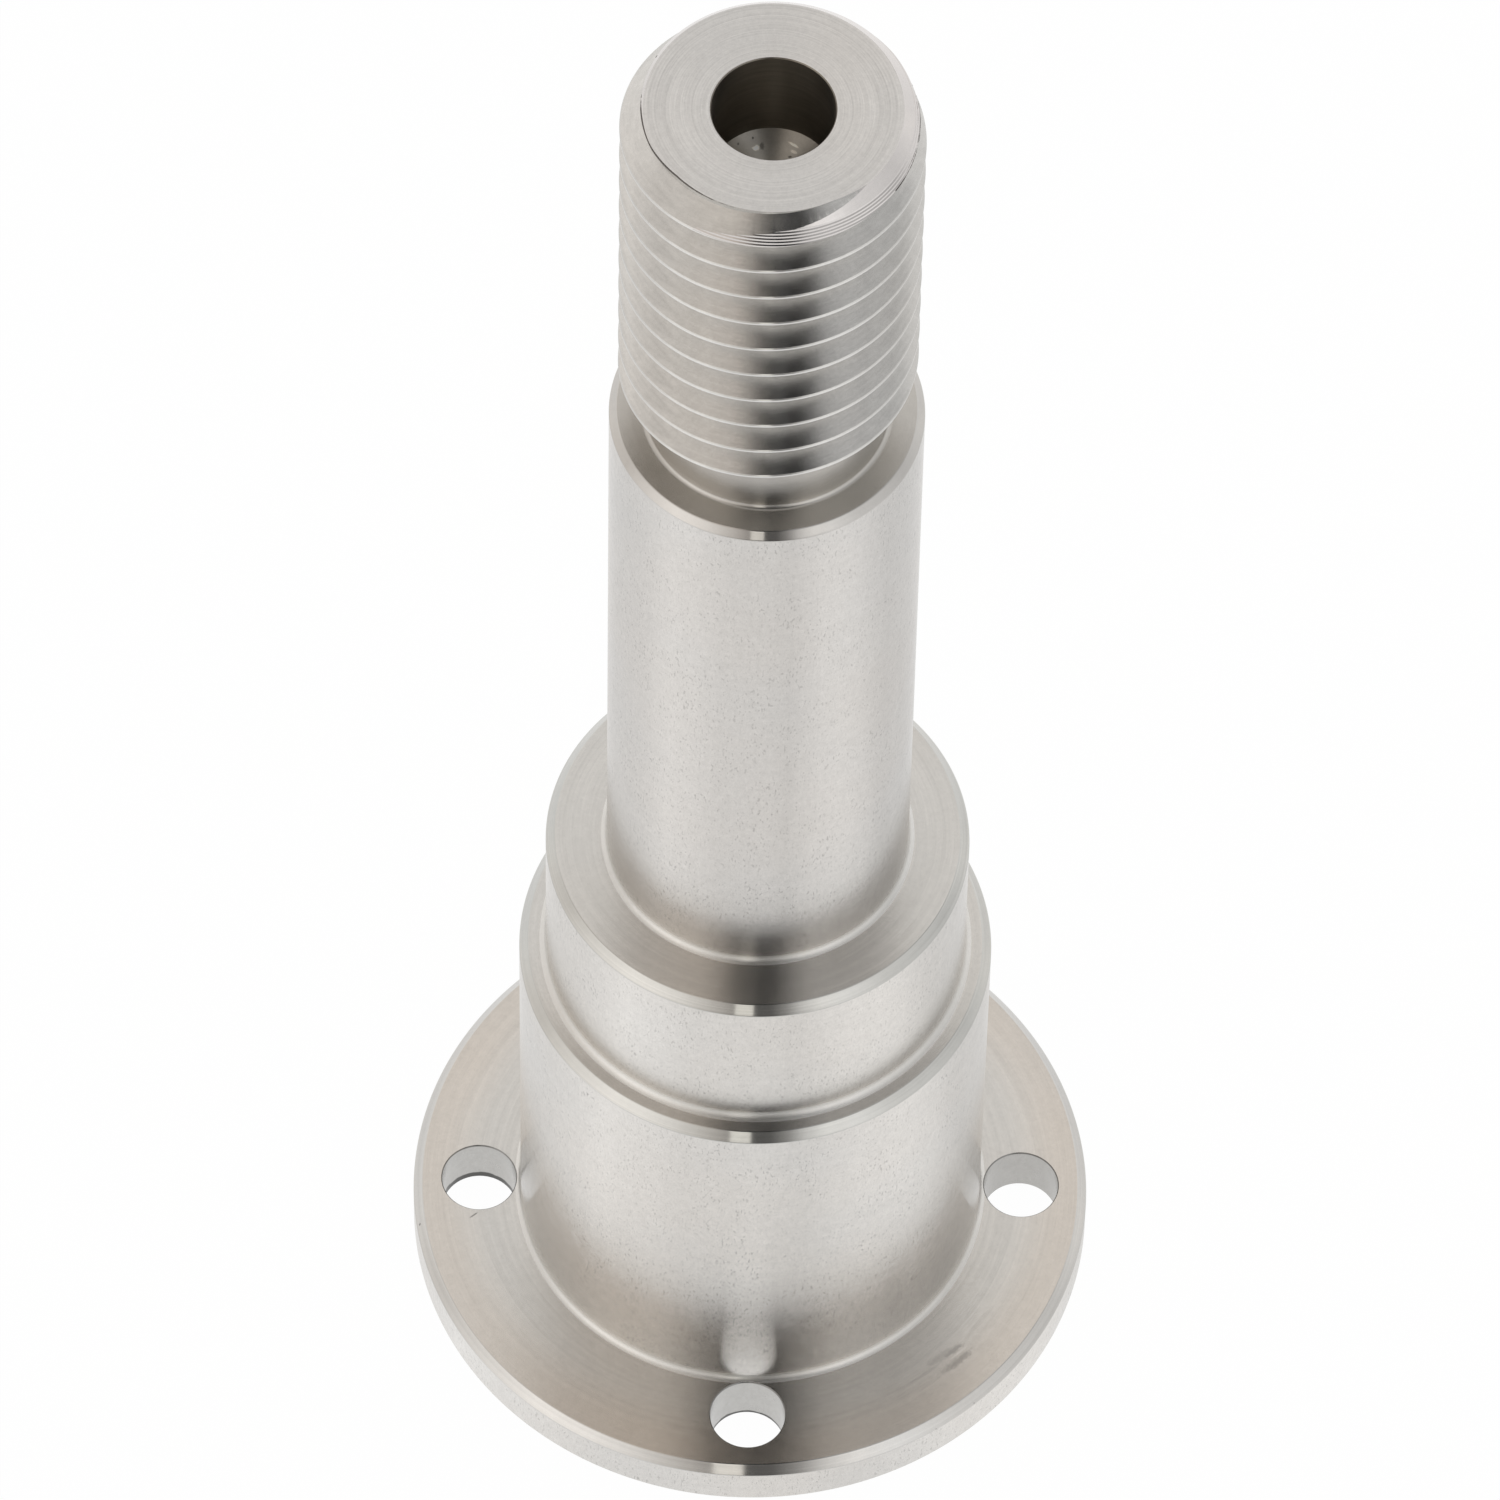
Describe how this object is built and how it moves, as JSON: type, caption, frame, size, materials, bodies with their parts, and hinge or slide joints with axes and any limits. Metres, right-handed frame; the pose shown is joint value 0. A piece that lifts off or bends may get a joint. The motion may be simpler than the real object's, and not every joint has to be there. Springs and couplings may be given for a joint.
{
  "type": "pivot shaft",
  "caption": "Stepped pivot shaft turned in one piece, with a round screw-down flange, stepped bosses, a long bearing journal and a threaded end.",
  "frame": {"origin": "centre of the flange's underside, on the shaft's axis", "axes": "+Z along the shaft's axis towards the threaded end; the screw holes lie on the X and Y axes"},
  "size_m": [0.039, 0.039, 0.1087],
  "materials": {
    "turned_steel": "satin turned stainless steel, with fine turning marks"
  },
  "bodies": {
    "root": {"pivot_shaft": "turned_steel"}
  },
  "joints": []
}
